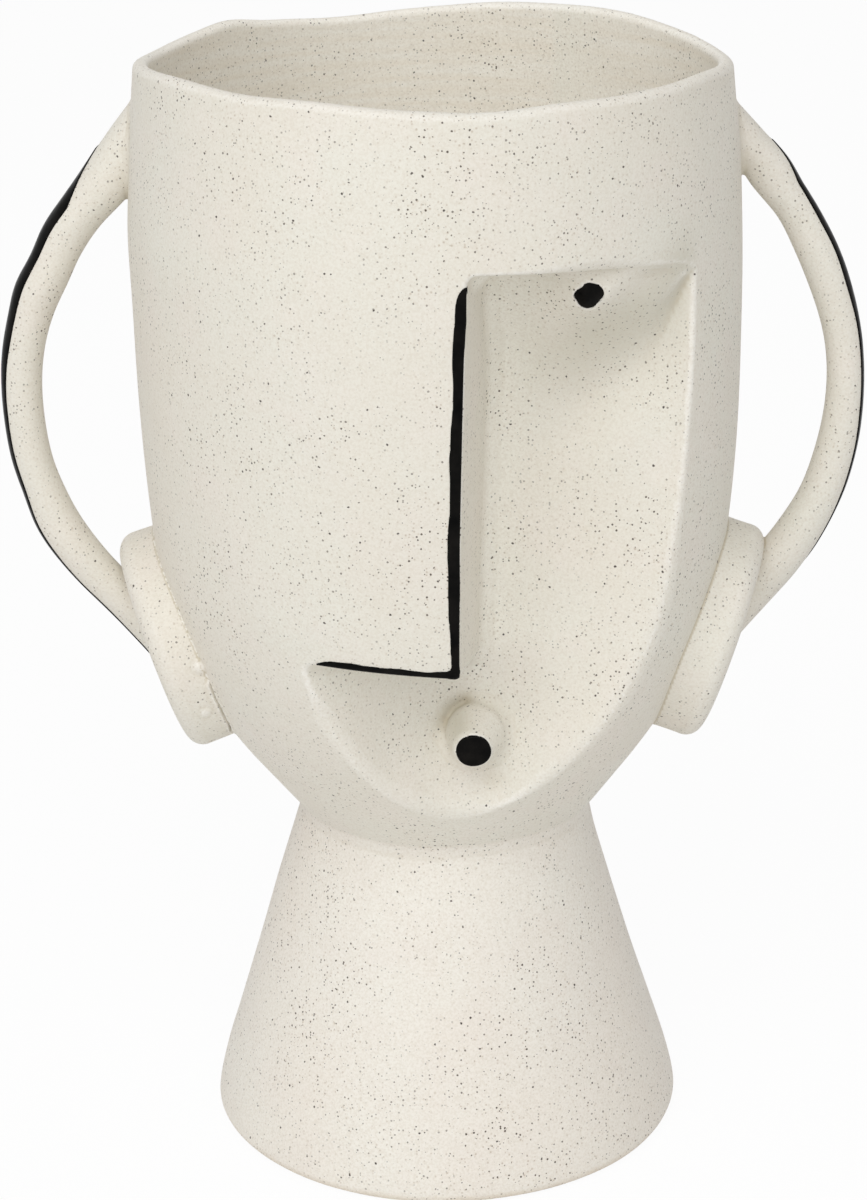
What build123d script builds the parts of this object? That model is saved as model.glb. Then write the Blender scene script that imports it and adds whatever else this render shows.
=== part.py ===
from build123d import *
import math
import os

# Overall sizes of the vase, in millimetres, up from the table, with the face towards -Y

rim_height = 300.0
cheek_radius = 77.2
foot_edge_radius = 3.4

# Profile: heights are shares of the rim's height, radii are shares of the cheek's

cheek_height_share = 0.573
jaw_height_share = 0.374
waist_height_share = 0.312
rim_radius_share = 0.999
jaw_radius_share = 0.697
waist_radius_share = 0.512
foot_radius_share = 0.859

# Clay thickness

head_wall = 4.0
pedestal_wall = 5.0
slab_thickness = 6.0
lip_rounding_share = 0.42

# Joints between the clay pieces, luted with slip so that their faces meet

seat_depth = 1.2
collar_height = 3.0
collar_setback = 2.5
slab_setback = 8.3

# Wave of the rim: angle from the front towards the right ear, and height as a share of the wave

rim_wave_height = 2.7
rim_crest_shares = [
    (45, 0.15), (105, -0.78), (157, 1.0), (200, -0.33),
    (228, 0.56), (255, -0.63), (300, 0.7), (365, -0.52),
]
rim_grid_count = 15

# Carved half of the face, its plan taken at the height of the waist

face_floor_shares = [
    (-0.6, -0.96), (-0.48, -0.89), (-0.325, -0.8), (-0.165, -0.69), (0.026, -0.612),
    (0.142, -0.608), (0.35, -0.671), (0.557, -0.705), (0.771, -0.702), (1.17, -0.687),
]
face_lean_shares = (0.03, 0.04, 1.0)
nose_wall_share = 0.218
nose_draft_deg = 9.7
brow_height_share = 0.868
nose_base_height_share = 0.527
nose_base_rise_deg = 3.4
ceiling_draft_deg = 8.5

# Eye and mouth, two tapered spouts that face the front

spout_root_share = 0.52
spout_lip = 1.2
spout_rounding = 0.9
eye_side_share = 0.477
eye_drop = 7.8
eye_reach_share = 0.855
eye_tip_radius = 5.0
eye_root_shift = (2.7, -7.6)
eye_root_radius = 17.0
mouth_side_share = 0.105
mouth_drop = 28.3
mouth_reach_share = 0.725
mouth_tip_radius = 5.6
mouth_root_shift = (0.7, 0.3)
mouth_root_radius = 10.1

# Black glaze, laid in shallow beds of its own depth

glaze_depth = 0.9
dot_depth = 2.0
dot_recess = 0.3
nose_line_width = 3.4
nose_line_gap = 2.2
level_line_width = 1.7
level_line_end_share = -0.4

# Ears, thick round discs

ear_radius = 31.0
ear_stand = 1.5
ear_forward = 5.0
ear_height_share = 0.469
ear_lean_deg = 18.0
ear_turn_deg = 7.5
ear_rounding = 4.5

# Handles, bowed tubes in the plane of the axis, from the top of the head to the ears

handle_radius = 5.65
handle_root_flare = 1.95
handle_bow_radius_share = 0.271
handle_foot_depth_share = 2.4
handle_bow_height_share = 0.702
handle_top_lean_deg = 37.5
handle_low_lean_deg = 40.0
handle_stands = {"left": 39.5, "right": 36.9}
stripe_half_widths = {"left": 4.3, "right": 3.5}
stripe_top_share = 0.923

# Overruns of the cuts, and of the cheek's arc above the rim as a share of its length

overrun = 20.0
top_overrun_share = 0.15

sides = {"left": -1, "right": 1}

# Heights and radii that follow from the shares

cheek_height = cheek_height_share * rim_height
jaw_height = jaw_height_share * rim_height
waist_height = waist_height_share * rim_height
brow_height = brow_height_share * rim_height
nose_base_height = nose_base_height_share * rim_height
ear_height = ear_height_share * rim_height
handle_bow_height = handle_bow_height_share * rim_height
handle_bow_radius = handle_bow_radius_share * rim_height
rim_radius = rim_radius_share * cheek_radius
jaw_radius = jaw_radius_share * cheek_radius
waist_radius = waist_radius_share * cheek_radius
foot_radius = foot_radius_share * cheek_radius
nose_wall_x = nose_wall_share * cheek_radius


# Outer profile of the head, drawn once: every layer of its wall is set in from it

with BuildLine(Plane.XZ) as head_profile:
    jaw_line = Line((waist_radius, waist_height), (jaw_radius, jaw_height))
    jaw_arc = TangentArc((jaw_radius, jaw_height), (cheek_radius, cheek_height), tangent=jaw_line % 1)
    cheek_arc = TangentArc((cheek_radius, cheek_height), (rim_radius, rim_height), tangent=jaw_arc % 1)


def inset_point(curve, at, inset):
    """Point of a profile in the XZ plane, moved towards the axis, square to the curve."""
    point, along = curve @ at, curve % at
    return (point.X - inset * along.Z, point.Z + inset * along.X)


def head_core(inset):
    """Round solid of the head, from the waist to above the rim, its skin set in by a distance."""
    jaw = inset_point(jaw_line, 1, inset)
    cheek = inset_point(jaw_arc, 1, inset)
    top = inset_point(cheek_arc, 1 + top_overrun_share, inset)
    along_jaw, along_cheek = jaw_line % 1, jaw_arc % 1
    neck_radius = jaw[0] - (jaw[1] - waist_height) * along_jaw.X / along_jaw.Z
    with BuildPart() as core:
        with BuildSketch(Plane.XZ):
            with BuildLine():
                Polyline(top, (0, top[1]), (0, waist_height), (neck_radius, waist_height), jaw)
                TangentArc(jaw, cheek, tangent=(along_jaw.X, along_jaw.Z))
                TangentArc(cheek, top, tangent=(along_cheek.X, along_cheek.Z))
            make_face()
        revolve(axis=Axis.Z)
    return core.part


def drafted_ceiling(height, rise_deg):
    """Plane over a part of the carved face: it drops inwards and may rise to the left."""
    normal = (math.tan(math.radians(rise_deg)), math.tan(math.radians(ceiling_draft_deg)), 1)
    return Plane(origin=(0, -rim_radius, height), z_dir=normal)


brow_ceiling = drafted_ceiling(brow_height, 0)
nose_ceiling = drafted_ceiling(nose_base_height, nose_base_rise_deg)


def floor_points(grow):
    """Plan points of the carved floor, moved into the head, square to the floor's own curve."""
    curve = Spline([(x * cheek_radius, y * cheek_radius) for x, y in face_floor_shares])
    last = len(face_floor_shares) - 1
    points = []
    for i in range(last + 1):
        point, along = curve @ (i / last), curve % (i / last)
        points.append((point.X - grow * along.Y, point.Y + grow * along.X))
    return points


def face_slab(ceiling, grow, wall_shift=None):
    """Space in front of the carved floor and under a ceiling, grown by a distance.

    With a wall shift it ends at the drafted wall of the nose, moved that far to the left.
    """
    floor = floor_points(grow)
    (left_x, left_y), (right_x, right_y) = floor[0], floor[-1]
    front_y = -rim_radius - overrun - overrun
    with BuildPart() as slab:
        with BuildSketch(Plane.XY.offset(waist_height)):
            with BuildLine():
                Spline(floor)
                Polyline((right_x, right_y), (right_x, front_y), (left_x, front_y), (left_x, left_y))
            make_face()
            if wall_shift is not None:
                draft = math.radians(nose_draft_deg)
                wall_x = nose_wall_x - wall_shift / math.cos(draft)
                wall_front = (wall_x + front_y * math.tan(draft), front_y)
                with BuildLine():
                    Polyline(wall_front, (wall_x, 0), (right_x, 0), (right_x, front_y), close=True)
                make_face(mode=Mode.INTERSECT)
        extrude(amount=rim_height, dir=face_lean_shares)
        split(bisect_by=ceiling.offset(grow), keep=Keep.BOTTOM)
    return slab.part


def head_solid(inset):
    """Head with the carved face, its whole skin set in by a distance."""
    with BuildPart() as head:
        add(head_core(inset))
        add(face_slab(brow_ceiling, inset, wall_shift=inset), mode=Mode.SUBTRACT)
        add(face_slab(nose_ceiling, inset), mode=Mode.SUBTRACT)
    return head.part


def rim_wave(angle_deg):
    """Height of the rim over its mean at an angle from the front, eased from crest to crest."""
    last_angle, last_share = rim_crest_shares[-1]
    first_angle = last_angle - 360
    stops = [(first_angle, last_share)] + rim_crest_shares
    turn = first_angle + (angle_deg - first_angle) % 360
    for (start, low_share), (end, high_share) in zip(stops, stops[1:]):
        if start <= turn <= end:
            ease_share = (1 - math.cos(math.pi * (turn - start) / (end - start))) / 2
            return rim_wave_height * (low_share + (high_share - low_share) * ease_share)


def rim_cutter():
    """Everything above the wavy rim: the wave dies out towards the middle of the mouth."""
    reach = rim_radius + overrun
    steps = [2 * i / (rim_grid_count - 1) - 1 for i in range(rim_grid_count)]
    rows = []
    for y_share in steps:
        row = []
        for x_share in steps:
            x, y = reach * x_share, reach * y_share
            wave = rim_wave(math.degrees(math.atan2(x, -y)))
            radius_share = math.hypot(x, y) / rim_radius
            row.append((x, y, rim_height + wave * radius_share**2))
        rows.append(row)
    surface = Face.make_surface_from_array_of_points(rows)
    with BuildPart() as cutter:
        extrude(surface, amount=overrun + overrun, dir=(0, 0, 1))
    return cutter.part


def pedestal_inner_radius(height):
    """Inner radius of the pedestal's cone at a height."""
    lean = math.atan2(foot_radius - waist_radius, waist_height)
    outer_radius = waist_radius + (waist_height - height) * math.tan(lean)
    return outer_radius - pedestal_wall / math.cos(lean)


def ear_solid(side):
    """Round disc of an ear, from its outer face to deep inside the head."""
    lean, turn = math.radians(ear_lean_deg), math.radians(ear_turn_deg)
    outward = (side * math.cos(lean) * math.cos(turn), -math.cos(lean) * math.sin(turn), -math.sin(lean))
    centre = (side * (cheek_radius + ear_stand), -ear_forward, ear_height)
    with BuildPart() as disc:
        with BuildSketch(Plane(origin=centre, z_dir=outward)):
            Circle(ear_radius)
        extrude(amount=-overrun - overrun)
        fillet(disc.faces().sort_by_distance(centre)[0].edges(), ear_rounding)
    return disc.part


def draw_handle_line(name):
    """Centre line of a handle in the XZ plane: a straight root, the bow and a straight foot.

    The root runs into the head's wall, the foot into the ear.
    """
    side = sides[name]
    centre_x = cheek_radius + handle_stands[name] - handle_radius - handle_bow_radius
    top, low = math.radians(handle_top_lean_deg), math.radians(handle_low_lean_deg)
    bow = []
    for angle in (top, 0, -low):
        x = centre_x + handle_bow_radius * math.cos(angle)
        bow.append((x, handle_bow_height + handle_bow_radius * math.sin(angle)))
    root_x = rim_radius - head_wall
    foot_x = cheek_radius + ear_stand - handle_foot_depth_share * handle_radius
    root = (side * root_x, bow[0][1] + (bow[0][0] - root_x) / math.tan(top))
    foot = (side * foot_x, bow[2][1] - (bow[2][0] - foot_x) / math.tan(low))
    bow_top, bow_middle, bow_low = [(side * x, z) for x, z in bow]
    Line(root, bow_top)
    ThreePointArc(bow_top, bow_middle, bow_low)
    Line(bow_low, foot)
    return root, foot


def handle_solid(name, inset):
    """Tube of a handle with its flared root, its skin set in by a distance."""
    with BuildLine(Plane.XZ) as path:
        draw_handle_line(name)
    root_line = path.edges().sort_by(Axis.Z)[-1]
    root_plane = Plane(origin=root_line @ 0, z_dir=root_line % 0)
    bow_plane = Plane(origin=root_line @ 1, z_dir=root_line % 0)
    with BuildPart() as tube:
        with BuildSketch(root_plane):
            Circle(handle_radius - inset)
        sweep(path=path.line)
        with BuildSketch(root_plane):
            Circle(handle_radius + handle_root_flare - inset)
        with BuildSketch(bow_plane):
            Circle(handle_radius - inset)
        loft()
    return tube.part


def stripe_space(name):
    """Flat block on the outer side of a handle's centre line."""
    far_x = sides[name] * (cheek_radius + handle_stands[name] + overrun)
    with BuildPart() as block:
        with BuildSketch(Plane.XZ):
            with BuildLine():
                root, foot = draw_handle_line(name)
                Polyline(foot, (far_x, foot[1]), (far_x, root[1]), root)
            make_face()
        extrude(amount=stripe_half_widths[name], both=True)
        split(bisect_by=Plane.XY.offset(stripe_top_share * rim_height), keep=Keep.BOTTOM)
    return block.part


def spout_solid(tip_plane, tip_centre, tip_radius, root_shift, root_radius):
    """Tapered clay spout with a softened tip and a bore for its dot."""
    root_centre = (tip_centre[0] + root_shift[0], tip_centre[1] + root_shift[1])
    with BuildPart() as spout:
        with BuildSketch(Plane.XZ.offset(spout_root_share * cheek_radius)):
            with Locations(root_centre):
                Circle(root_radius)
        with BuildSketch(tip_plane):
            with Locations(tip_centre):
                Circle(tip_radius)
        loft()
        fillet(spout.faces().sort_by(Axis.Y)[0].edges(), spout_rounding)
        with BuildSketch(tip_plane):
            with Locations(tip_centre):
                Circle(tip_radius - spout_lip)
        extrude(amount=-dot_recess - dot_depth, mode=Mode.SUBTRACT)
    return spout.part


# Skins of the head that the other pieces are cut to

head_skin = head_solid(0)
seat_core = head_solid(seat_depth)
glaze_core = head_core(glaze_depth)

# Ears

ears = {}
for name, side in sides.items():
    with BuildPart() as ear:
        add(ear_solid(side))
        add(seat_core, mode=Mode.SUBTRACT)
    ears[name] = ear.part

# Handles and the black stripes on their outer sides

handles = {}
stripes = {}
for name, side in sides.items():
    with BuildPart() as stripe:
        add(handle_solid(name, 0))
        add(handle_solid(name, glaze_depth), mode=Mode.SUBTRACT)
        add(stripe_space(name), mode=Mode.INTERSECT)
        add(ear_solid(side), mode=Mode.SUBTRACT)
        add(seat_core, mode=Mode.SUBTRACT)
    stripes[name] = stripe.part
    with BuildPart() as handle:
        add(handle_solid(name, 0))
        add(ear_solid(side), mode=Mode.SUBTRACT)
        add(seat_core, mode=Mode.SUBTRACT)
        add(stripes[name], mode=Mode.SUBTRACT)
    handles[name] = handle.part

# Eye and mouth, each a spout and a round dot of glaze at the bottom of its bore

eye_plane = Plane.XZ.offset(eye_reach_share * cheek_radius)
eye_centre = (eye_side_share * cheek_radius, brow_height - eye_drop)
mouth_plane = Plane.XZ.offset(mouth_reach_share * cheek_radius)
mouth_centre = (mouth_side_share * cheek_radius, nose_base_height - mouth_drop)

with BuildPart() as eye_cone:
    add(spout_solid(eye_plane, eye_centre, eye_tip_radius, eye_root_shift, eye_root_radius))
    add(seat_core, mode=Mode.SUBTRACT)

with BuildPart() as mouth_cone:
    add(spout_solid(mouth_plane, mouth_centre, mouth_tip_radius, mouth_root_shift, mouth_root_radius))
    add(seat_core, mode=Mode.SUBTRACT)

with BuildPart() as eye_dot:
    with BuildSketch(eye_plane.offset(-dot_recess)):
        with Locations(eye_centre):
            Circle(eye_tip_radius - spout_lip)
    extrude(amount=-dot_depth)

with BuildPart() as mouth_dot:
    with BuildSketch(mouth_plane.offset(-dot_recess)):
        with Locations(mouth_centre):
            Circle(mouth_tip_radius - spout_lip)
    extrude(amount=-dot_depth)

# Black line along the edge of the nose and of its base

with BuildPart() as level_band:
    add(face_slab(nose_ceiling.offset(level_line_width), 0))
    split(bisect_by=Plane.YZ.offset(level_line_end_share * cheek_radius), keep=Keep.TOP)

with BuildPart() as nose_line:
    add(face_slab(brow_ceiling.offset(-nose_line_gap), 0, wall_shift=nose_line_width))
    add(level_band.part)
    add(head_skin, mode=Mode.INTERSECT)
    add(glaze_core, mode=Mode.SUBTRACT)

# Head, a cup with a wavy lip and a collar below, bedded for each piece that it carries

head_hollow = head_solid(head_wall)
collar_radius = waist_radius - collar_setback
collar_low = waist_height - collar_height
luted_pieces = [*ears.values(), *handles.values(), *stripes.values()]
luted_pieces += [eye_cone.part, mouth_cone.part, nose_line.part]

with BuildPart() as head_shell:
    add(head_skin)
    add(rim_cutter(), mode=Mode.SUBTRACT)
    add(head_hollow, mode=Mode.SUBTRACT)
    lip_edges = head_shell.edges().filter_by_position(Axis.Z, rim_height - overrun / 2, rim_height + overrun)
    fillet(lip_edges, lip_rounding_share * head_wall)
    with BuildSketch(Plane.XZ):
        with BuildLine():
            Polyline(
                (pedestal_inner_radius(waist_height), waist_height),
                (pedestal_inner_radius(collar_low), collar_low),
                (collar_radius, collar_low), (collar_radius, waist_height), close=True,
            )
        make_face()
    revolve(axis=Axis.Z)
    for piece in luted_pieces:
        add(piece, mode=Mode.SUBTRACT)

# Pedestal, a hollow cone with a rebate for the head's collar and a bore for the slab

slab_radius = foot_radius - slab_setback
foot_corner = (foot_radius, 0)

with BuildPart() as pedestal:
    with BuildSketch(Plane.XZ) as section:
        with BuildLine():
            Polyline(
                (slab_radius, 0), foot_corner,
                (waist_radius, waist_height), (collar_radius, waist_height),
                (collar_radius, collar_low), (pedestal_inner_radius(collar_low), collar_low),
                (pedestal_inner_radius(slab_thickness), slab_thickness),
                (slab_radius, slab_thickness), close=True,
            )
        make_face()
        fillet(section.vertices().sort_by_distance(foot_corner)[0], foot_edge_radius)
    revolve(axis=Axis.Z)

# Slab that closes the foot

with BuildPart() as base_slab:
    with BuildSketch(Plane.XY):
        Circle(slab_radius)
    extrude(amount=slab_thickness)

pieces = {
    "head_shell": head_shell.part,
    "pedestal": pedestal.part,
    "base_slab": base_slab.part,
    "eye_cone": eye_cone.part,
    "mouth_cone": mouth_cone.part,
    "eye_dot": eye_dot.part,
    "mouth_dot": mouth_dot.part,
    "nose_line": nose_line.part,
}
for name in sides:
    pieces[name + "_ear"] = ears[name]
    pieces[name + "_handle"] = handles[name]
    pieces[name + "_handle_stripe"] = stripes[name]

os.makedirs("parts", exist_ok=True)
for name, piece in pieces.items():
    piece.label = name
    export_step(piece, f"parts/{name}.step")
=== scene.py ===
"""Looks of the face vase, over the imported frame.

Every clay and glaze piece is the surface where a smooth field is zero. Fields are in millimetres and
negative inside the clay. A piece reaches a little way into its neighbours and blends into their surface.
"""

import math
from functools import partial

import bpy
import numpy as np
from mathutils import Matrix, Vector


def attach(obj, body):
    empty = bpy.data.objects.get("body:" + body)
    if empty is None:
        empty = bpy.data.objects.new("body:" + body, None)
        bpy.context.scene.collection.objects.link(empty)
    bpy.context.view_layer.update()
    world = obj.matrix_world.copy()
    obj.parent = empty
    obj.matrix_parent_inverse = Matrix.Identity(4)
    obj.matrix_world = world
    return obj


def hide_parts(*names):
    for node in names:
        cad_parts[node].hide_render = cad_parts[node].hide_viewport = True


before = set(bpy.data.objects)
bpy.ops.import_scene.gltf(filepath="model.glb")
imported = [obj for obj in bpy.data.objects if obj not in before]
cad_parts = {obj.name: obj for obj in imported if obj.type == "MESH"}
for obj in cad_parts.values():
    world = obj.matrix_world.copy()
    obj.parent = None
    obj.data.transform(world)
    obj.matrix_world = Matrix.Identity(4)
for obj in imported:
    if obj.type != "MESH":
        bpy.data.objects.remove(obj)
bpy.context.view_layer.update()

MM = 0.001

# Sizes that repeat those of the solids, in millimetres

RIM_Z = 300.0
RIM_R = 77.1
CHEEK = (77.2, 171.9)  # radius and height
JAW = (53.8, 112.2)
WAIST = (39.5, 93.6)
FOOT_R = 66.3
WALL = 4.0
LEAN_X, LEAN_Y = 0.03, 0.04  # how the carved floor drifts per millimetre of height
FLOOR_PLAN = [  # x and y of the carved floor at the waist's height
    (-46.3, -74.1), (-37.1, -68.7), (-25.1, -61.8), (-12.7, -53.3), (2.0, -47.2),
    (11.0, -46.9), (27.0, -51.8), (43.0, -54.4), (59.5, -54.2), (90.3, -53.0),
]
RIM_HEIGHTS = [  # angle from the front and lift of the wavy lip
    (-60, 1.8), (-39, 1.2), (-22, 0.7), (-8, -0.5), (6, -1.4), (21, -0.6), (37, -0.2), (61, 0.4),
    (105, -1.7), (118, -0.2), (136, 2.0), (158, 2.75), (177, 1.3), (-163, -0.9), (-144, -0.05),
    (-131, 1.65), (-122, 0.5), (-107, -1.3), (-84, 0.4),
]


# How deep a piece reaches into its neighbour, and how far it stays under the neighbour's surface

ROOT = 2.5
HANDLE_ROOT = 2.0
INSET = 0.05
EAR_INSET = 0.06


# Field tools

def bend(a, b, r):
    """Union of two fields with a fillet of radius r between them."""
    return np.maximum(r, np.minimum(a, b)) - np.hypot(np.maximum(r - a, 0), np.maximum(r - b, 0))


def cut(a, b, r):
    """Overlap of two fields with an edge rounded to radius r."""
    return np.minimum(-r, np.maximum(a, b)) + np.hypot(np.maximum(r + a, 0), np.maximum(r + b, 0))


def ease(low, high, value):
    """Smooth step from 0 at low to 1 at high."""
    t = np.clip((value - low) / (high - low), 0, 1)
    return t * t * (3 - 2 * t)


def waves(seed, length, count=7):
    """Smooth seamless unevenness about as wide as length, between about -1 and 1."""
    rng = np.random.default_rng(seed)
    ways = rng.normal(size=(count, 3))
    ways /= np.linalg.norm(ways, axis=1)[:, None]
    rates = 2 * math.pi / (length * rng.uniform(0.7, 1.6, count))
    starts = rng.uniform(0, 2 * math.pi, count)

    def value(x, y, z):
        total = 0
        for way, rate, start in zip(ways, rates, starts):
            total = total + np.sin(rate * (way[0] * x + way[1] * y + way[2] * z) + start)
        return total / math.sqrt(count)

    return value


def round_cone(x, y, z, a, b, ra, rb):
    """Field of a cone from ball a to ball b."""
    ax, ay, az = b[0] - a[0], b[1] - a[1], b[2] - a[2]
    length = math.sqrt(ax * ax + ay * ay + az * az)
    px, py, pz = x - a[0], y - a[1], z - a[2]
    t = (px * ax + py * ay + pz * az) / length
    q = np.sqrt(np.maximum(px * px + py * py + pz * pz - t * t, 0))
    slope = (ra - rb) / length
    side = math.sqrt(1 - slope * slope)
    k = t * side - q * slope
    body = q * side + t * slope - ra
    low = np.hypot(q, t) - ra
    high = np.hypot(q, t - length) - rb
    return np.where(k < 0, low, np.where(k > length * side, high, body))


def smooth_curve(points, closed_span=None):
    """Dense table of a Catmull-Rom curve through points, for np.interp."""
    pts = sorted(points)
    if closed_span:
        pts = [(a - closed_span, h) for a, h in pts[-3:]] + pts + [(a + closed_span, h) for a, h in pts[:3]]
    xs = np.array([p[0] for p in pts], float)
    ys = np.array([p[1] for p in pts], float)
    slopes = np.gradient(ys, xs)
    out_x, out_y = [], []
    for i in range(len(xs) - 1):
        t = np.linspace(0, 1, 40, endpoint=False)
        h = xs[i + 1] - xs[i]
        out_x.append(xs[i] + h * t)
        out_y.append(
            (2 * t**3 - 3 * t**2 + 1) * ys[i] + (t**3 - 2 * t**2 + t) * h * slopes[i]
            + (3 * t**2 - 2 * t**3) * ys[i + 1] + (t**3 - t**2) * h * slopes[i + 1]
        )
    return np.append(np.concatenate(out_x), xs[-1]), np.append(np.concatenate(out_y), ys[-1])


# Outer form of the head

def tangent_arc(start, heading, end):
    """Centre, radius and last heading of the arc that leaves start along heading and ends at end."""
    vr, vz = start[0] - end[0], start[1] - end[1]
    nr, nz = -heading[1], heading[0]
    radius = -(vr * vr + vz * vz) / (2 * (vr * nr + vz * nz))
    centre = (start[0] + nr * radius, start[1] + nz * radius)
    last = (-(end[1] - centre[1]) / radius, (end[0] - centre[0]) / radius)
    return centre, radius, last


jaw_length = math.hypot(JAW[0] - WAIST[0], JAW[1] - WAIST[1])
jaw_heading = ((JAW[0] - WAIST[0]) / jaw_length, (JAW[1] - WAIST[1]) / jaw_length)
LOW_C, LOW_R, low_heading = tangent_arc(JAW, jaw_heading, CHEEK)
TOP_C, TOP_R, _ = tangent_arc(CHEEK, low_heading, (RIM_R, RIM_Z))
JAW_SLOPE = jaw_heading[0] / jaw_heading[1]


def head_radius(z):
    """Radius of the head at a height, and its slope there."""
    dl = np.clip(z - LOW_C[1], -LOW_R + 1, LOW_R - 1)
    dt = np.clip(z - TOP_C[1], -TOP_R + 1, TOP_R - 1)
    rl = np.sqrt(LOW_R**2 - dl * dl)
    rt = np.sqrt(TOP_R**2 - dt * dt)
    in_jaw, in_low = z < JAW[1], z < CHEEK[1]
    arcs = np.where(in_low, LOW_C[0] + rl, TOP_C[0] + rt)
    radius = np.where(in_jaw, WAIST[0] + JAW_SLOPE * (z - WAIST[1]), arcs)
    slope = np.where(in_jaw, JAW_SLOPE, np.where(in_low, -dl / rl, -dt / rt))
    return radius, slope


head_waves = waves(11, 75)
head_ripple = waves(12, 24)


def lopsided(x, y, z):
    """How far the sides of the head stand out beyond the round form."""
    right = np.maximum(x, 0) ** 2 / (x * x + y * y + 1)
    left = np.minimum(x, 0) ** 2 / (x * x + y * y + 1)
    on_right = 0.55 * ease(292, 275, z) + 0.6 * np.exp(-(((z - 94) / 12) ** 2))
    return right * on_right + left * 0.8 * np.exp(-(((z - 256) / 14) ** 2))


def head_skin(x, y, z):
    """Outer form of the head without its carving."""
    radius, slope = head_radius(z)
    uneven = 0.28 * head_waves(x, y, z) + 0.08 * head_ripple(x, y, z) - lopsided(x, y, z)
    return (np.hypot(x, y) - radius) / np.sqrt(1 + slope * slope) + uneven + 0.3


# Carved face

PLAN_X, PLAN_Y = smooth_curve(FLOOR_PLAN)
DISH = 4.6
DISH_EASE = 9.0
MOUTH = (8.1, -56.0, 129.2)
EYE_X, EYE_Z = 37.0, 250.7
BROW_CORNER_X, BROW_CORNER_Z = 62.6, 259.0
BROW_FILL, BROW_FILL_TOP, BROW_DIP = 7.0, 5.0, 3.2  # along the slope, more of it at the top, and at its foot
CHIN_FILL = 7.5


def plain_floor(x, z):
    """Place of the carved floor before it is dished and filled, and its depth behind the round form."""
    rise = z - WAIST[1]
    floor = np.interp(x - LEAN_X * rise, PLAN_X, PLAN_Y) + LEAN_Y * rise
    radius, _ = head_radius(z)
    return floor, floor + np.sqrt(np.maximum(radius * radius - x * x, 0))


def above_slope(x, z):
    """Distance to the upper left of the diagonal that the brow slope follows from the upper right corner."""
    return -0.562 * (x - BROW_CORNER_X) + 0.827 * (z - BROW_CORNER_Z)


def brow_fill(x, z):
    """How far the top of the carved floor comes forward, up to a slope that falls from the upper right."""
    before = above_slope(x, z)
    wide = ease(14, 42, x) * ease(65, 51, x)
    slope = ease(-5 - 15 * wide, 6 + 0.35 * (40 - x + np.hypot(40 - x, 7)), before)
    foot = BROW_DIP * np.exp(-(((before + 18) / 8.5) ** 2)) * wide
    fill = slope * (BROW_FILL + BROW_FILL_TOP * ease(226, 252, z))
    room = 0.8 * np.maximum(plain_floor(x, z)[1], 0.01)
    return fill * room / (fill**6 + room**6) ** (1 / 6) - foot


def painted_face_shade(x, y, z):
    """Painted shade: where the carved face is coloured darker for the shade on the slope under the brow and in
    the pocket beside the mouth.
    """
    before = above_slope(x, z)
    slope = np.exp(-(((before + 3.5) / np.where(before < -3.5, 12, 8)) ** 2))
    slope = slope * ease(18, 40, x) * ease(66, 60, x)
    mouth = np.exp(-(((x - 4.4) / 3.8) ** 2) - ((z - 133.6) / 4.2) ** 2) * ease(-56, -53, y)
    outside = ease(-20, -30, y) * ease(-1.5, -0.5, head_form(x, y, z))
    return (slope + 1.1 * mouth) * ease(-72, -66, y) * outside


def chin_fill(x, z):
    """How far the bottom of the carved floor comes forward towards the chin."""
    return CHIN_FILL * ease(142, 103, z) * np.exp(-(((x - 4) / 32) ** 2))


def eye_swell(x, z):
    """How far the soft mound of the eye stands before the carved floor."""
    core = 4.6 * np.exp(-((x - 37.4) / 7.5) ** 2 - ((z - 252.0) / 8.0) ** 2)
    ridge_u = 0.78 * (x - 46.0) + 0.62 * (z - 257.0)
    ridge_v = -0.62 * (x - 46.0) + 0.78 * (z - 257.0)
    ridge = 2.0 * np.exp(-((ridge_u / 9.0) ** 2) - (ridge_v / 4.5) ** 2)
    return core + ridge


PIT_X, PIT_Z, PIT_R, PIT_WIDTH = 8.6, 129.2, 6.7, 3.2
PIT_TURN, PIT_HALF, PIT_FADE = 130, 20, 24  # degrees
PIT_DEPTH, LOWER_PIT_DEPTH = 3.2, 1.8


def mouth_pit(x, z):
    """Nearness to the curved hollow along the upper left of the mouth, from 0 to 1."""
    across, up = x - PIT_X, z - PIT_Z
    off = np.hypot(across, up) - PIT_R
    turn = np.degrees(np.arctan2(up, across))
    turn = np.where(turn < -90, turn + 360, turn)
    along = np.maximum(np.abs(turn - PIT_TURN) - PIT_HALF, 0) / PIT_FADE
    return np.exp(-((off / PIT_WIDTH) ** 2) - along**2)


NOSE_WALL_TURN = math.tan(math.radians(9.7))
CUT_FALL = 0.1495  # how the planes over and under the carving fall towards the back


def arris_x(y, z):
    """Where the long edge of the nose stands, on the wall beside it."""
    rise = z - WAIST[1]
    return 15.8 + NOSE_WALL_TURN * (y - LEAN_Y * rise) + 0.0105 * (z - 158) + LEAN_X * rise


def nose_base_z(x, y):
    """Height of the plane under the nose."""
    return 157.45 - 0.078 * x - CUT_FALL * (y + RIM_R)


def carved_floor(x, y, z, swell):
    """Field of the space in front of the dished floor, where swell brings the floor forward."""
    floor, behind = plain_floor(x, z)
    deep = (DISH - 2.0 * ease(10, -30, x)) * (1 - 0.7 * ease(40, 8, x) * ease(130, 185, z))
    deep = deep * (1 - 0.6 * ease(220, 258, z))
    dish = deep * (1 - np.exp(-np.maximum(behind, 0) / DISH_EASE))
    return (y - floor - dish + swell) * 0.95


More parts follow.
